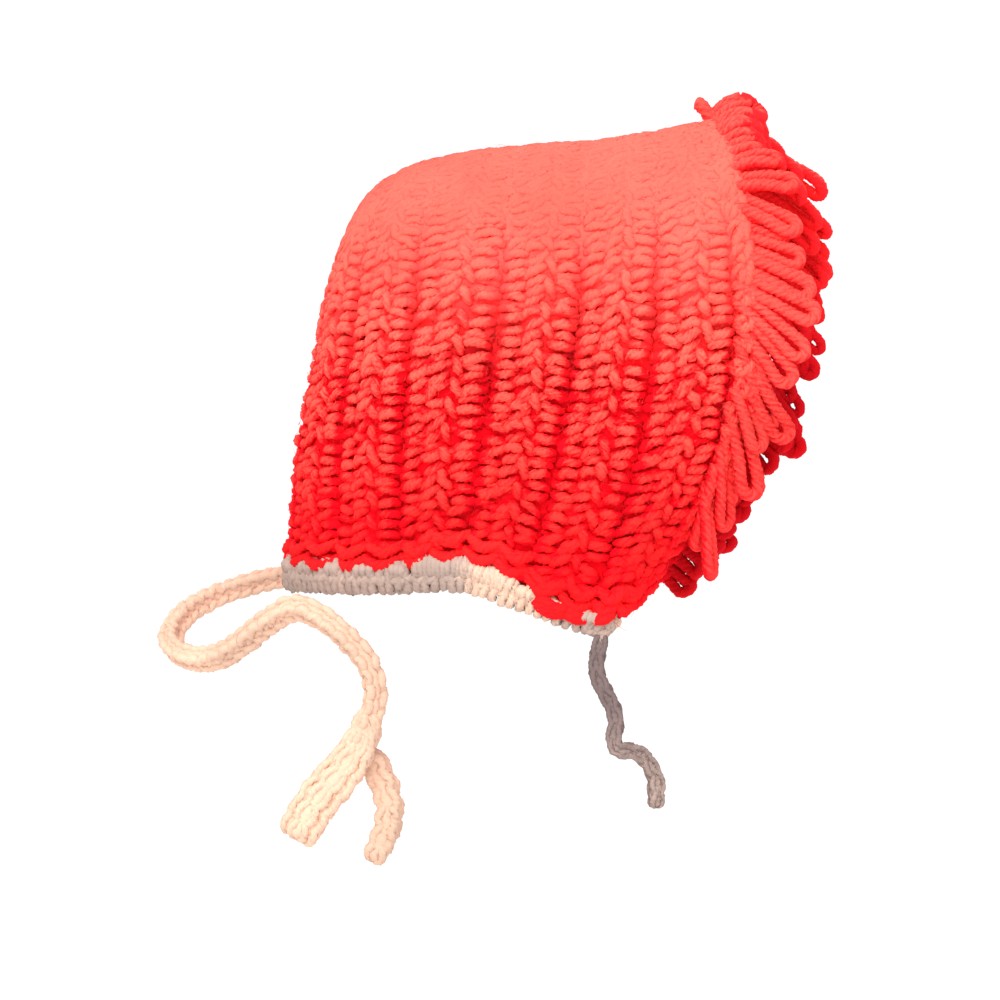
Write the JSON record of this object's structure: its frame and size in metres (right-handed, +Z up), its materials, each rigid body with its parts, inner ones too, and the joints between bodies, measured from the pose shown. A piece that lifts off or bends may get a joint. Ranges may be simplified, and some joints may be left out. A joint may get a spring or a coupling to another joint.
{
  "type": "crocheted baby bonnet",
  "caption": "Crocheted baby bonnet: a ribbed hood open at the face and neck, a loop fringe along the face edge, a contrasting neck band and two soft ties.",
  "frame": {"origin": "where the top of the head touches the inside of the crown, at the head_seat mount", "axes": "+X forward out of the face opening, -Y the near side shown in the picture, +Z up"},
  "size_m": [0.1991, 0.1046, 0.22],
  "materials": {
    "coral_yarn": "matte coral red bulky yarn, crocheted in ribs",
    "coral_loop_yarn": "matte coral red bulky yarn, plied loops",
    "cream_yarn": "matte cream bulky yarn, crocheted",
    "cream_tie_yarn": "matte cream bulky yarn, crocheted cord with soft fuzz"
  },
  "bodies": {
    "root": {"crown": "coral_yarn", "fringe": "coral_loop_yarn", "neck_band": "cream_yarn", "near_tie": "cream_tie_yarn", "far_tie": "cream_tie_yarn", "tie_end_wide": "cream_tie_yarn", "tie_end_narrow": "cream_tie_yarn"}
  },
  "joints": []
}
